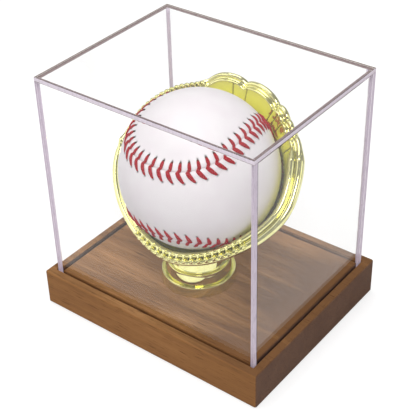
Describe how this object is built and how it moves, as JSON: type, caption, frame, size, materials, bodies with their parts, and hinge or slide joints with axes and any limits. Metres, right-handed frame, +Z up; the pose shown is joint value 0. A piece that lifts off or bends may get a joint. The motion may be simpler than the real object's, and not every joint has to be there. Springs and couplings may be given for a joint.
{
  "type": "baseball display case",
  "caption": "Clear lift-off display cover on a walnut base, with a baseball resting in a pale gold glove-shaped holder on a round pedestal.",
  "frame": {"origin": "middle of the base's underside, where the felt meets the table", "axes": "+Z up, +X to the right along the long side of the base, -Y towards the front that the open glove faces"},
  "size_m": [0.127, 0.102, 0.1267],
  "materials": {
    "walnut": "satin walnut, straight grain along the length",
    "felt": "short dark green felt",
    "steel": "zinc plated",
    "gold_plastic": "vacuum metallised pale gold, glossy",
    "acrylic": "clear, polished",
    "cork": "cork and rubber mix",
    "black_rubber": "matte black",
    "red_rubber": "matte red",
    "wool_gray": "wound grey wool yarn",
    "wool_white": "wound white wool yarn",
    "cotton": "fine wound cotton and polyester yarn",
    "leather": "smooth white leather",
    "red_thread": "waxed red thread"
  },
  "bodies": {
    "base": {"base_board": "walnut", "base_felt": "felt", "holder_bolt": "steel", "holder_washer": "steel", "holder_nut": "steel", "pedestal": "gold_plastic", "glove_cup": "gold_plastic"},
    "cover": {"cover_top": "acrylic", "cover_front": "acrylic", "cover_back": "acrylic", "cover_left": "acrylic", "cover_right": "acrylic"},
    "ball": {"ball_cork_core": "cork", "ball_rubber_half_upper": "black_rubber", "ball_rubber_half_lower": "black_rubber", "ball_rubber_gasket": "red_rubber", "ball_red_rubber": "red_rubber", "ball_wool_inner": "wool_gray", "ball_wool_middle": "wool_white", "ball_wool_outer": "wool_gray", "ball_cotton_winding": "cotton", "ball_leather_upper": "leather", "ball_leather_lower": "leather", "ball_stitches": "red_thread"}
  },
  "joints": [
    {"name": "cover_lift", "type": "slide", "parent": "base", "child": "cover", "axis": [0, 0, 1], "range_m": [0, 0.12]},
    {"name": "ball_turn", "type": "hinge", "parent": "base", "child": "ball", "pos_m": [0, -0.00616, 0.07954], "axis": [0, 0, 1], "continuous": true}
  ]
}
